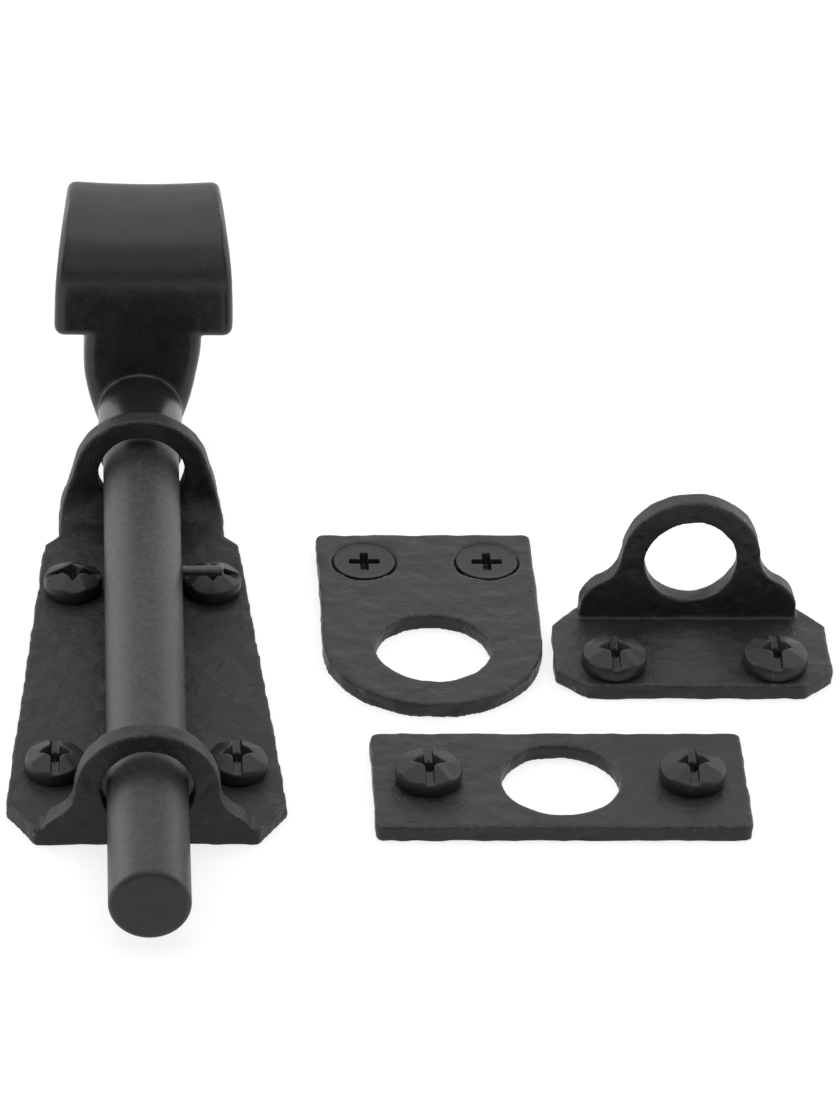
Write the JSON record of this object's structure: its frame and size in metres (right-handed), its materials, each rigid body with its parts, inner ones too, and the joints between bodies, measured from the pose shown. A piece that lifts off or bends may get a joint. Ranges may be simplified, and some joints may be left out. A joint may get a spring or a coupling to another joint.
{
  "type": "toggle bolt latch",
  "caption": "Black surface bolt with a sliding round rod, an upright toggle handle, alternative strikes and wood screws.",
  "frame": {"origin": "midway between the base plate's two front screws, on its mounting face", "axes": "+X across the plate, +Y along the rod from its nose to the handle, +Z out of the mounting face"},
  "size_m": [0.1004, 0.1184, 0.0509],
  "materials": {
    "black_casting": "matt black over a lightly uneven forged or cast surface",
    "black_bar": "smooth satin black",
    "black_screw": "satin black"
  },
  "bodies": {
    "base": {"base_plate": "black_casting", "plate_screw_front_left": "black_screw", "plate_screw_front_right": "black_screw", "plate_screw_rear_left": "black_screw", "plate_screw_rear_right": "black_screw", "flat_strike": "black_casting", "flat_strike_screw_left": "black_screw", "flat_strike_screw_right": "black_screw", "raised_strike": "black_casting", "raised_strike_screw_left": "black_screw", "raised_strike_screw_right": "black_screw", "round_strike": "black_casting", "round_strike_screw_left": "black_screw", "round_strike_screw_right": "black_screw"},
    "rod": {"bolt_rod": "black_bar"},
    "handle": {"toggle_handle": "black_casting", "stop_pin": "black_bar"}
  },
  "joints": [
    {"name": "bolt_slide", "type": "slide", "parent": "base", "child": "rod", "axis": [0, 1, 0], "range_m": [-0.0034, 0.01965]},
    {"name": "handle_turn", "type": "hinge", "parent": "rod", "child": "handle", "pos_m": [0, 0, 0.0071], "axis": [0, -1, 0], "range_deg": [-6, 70]}
  ]
}
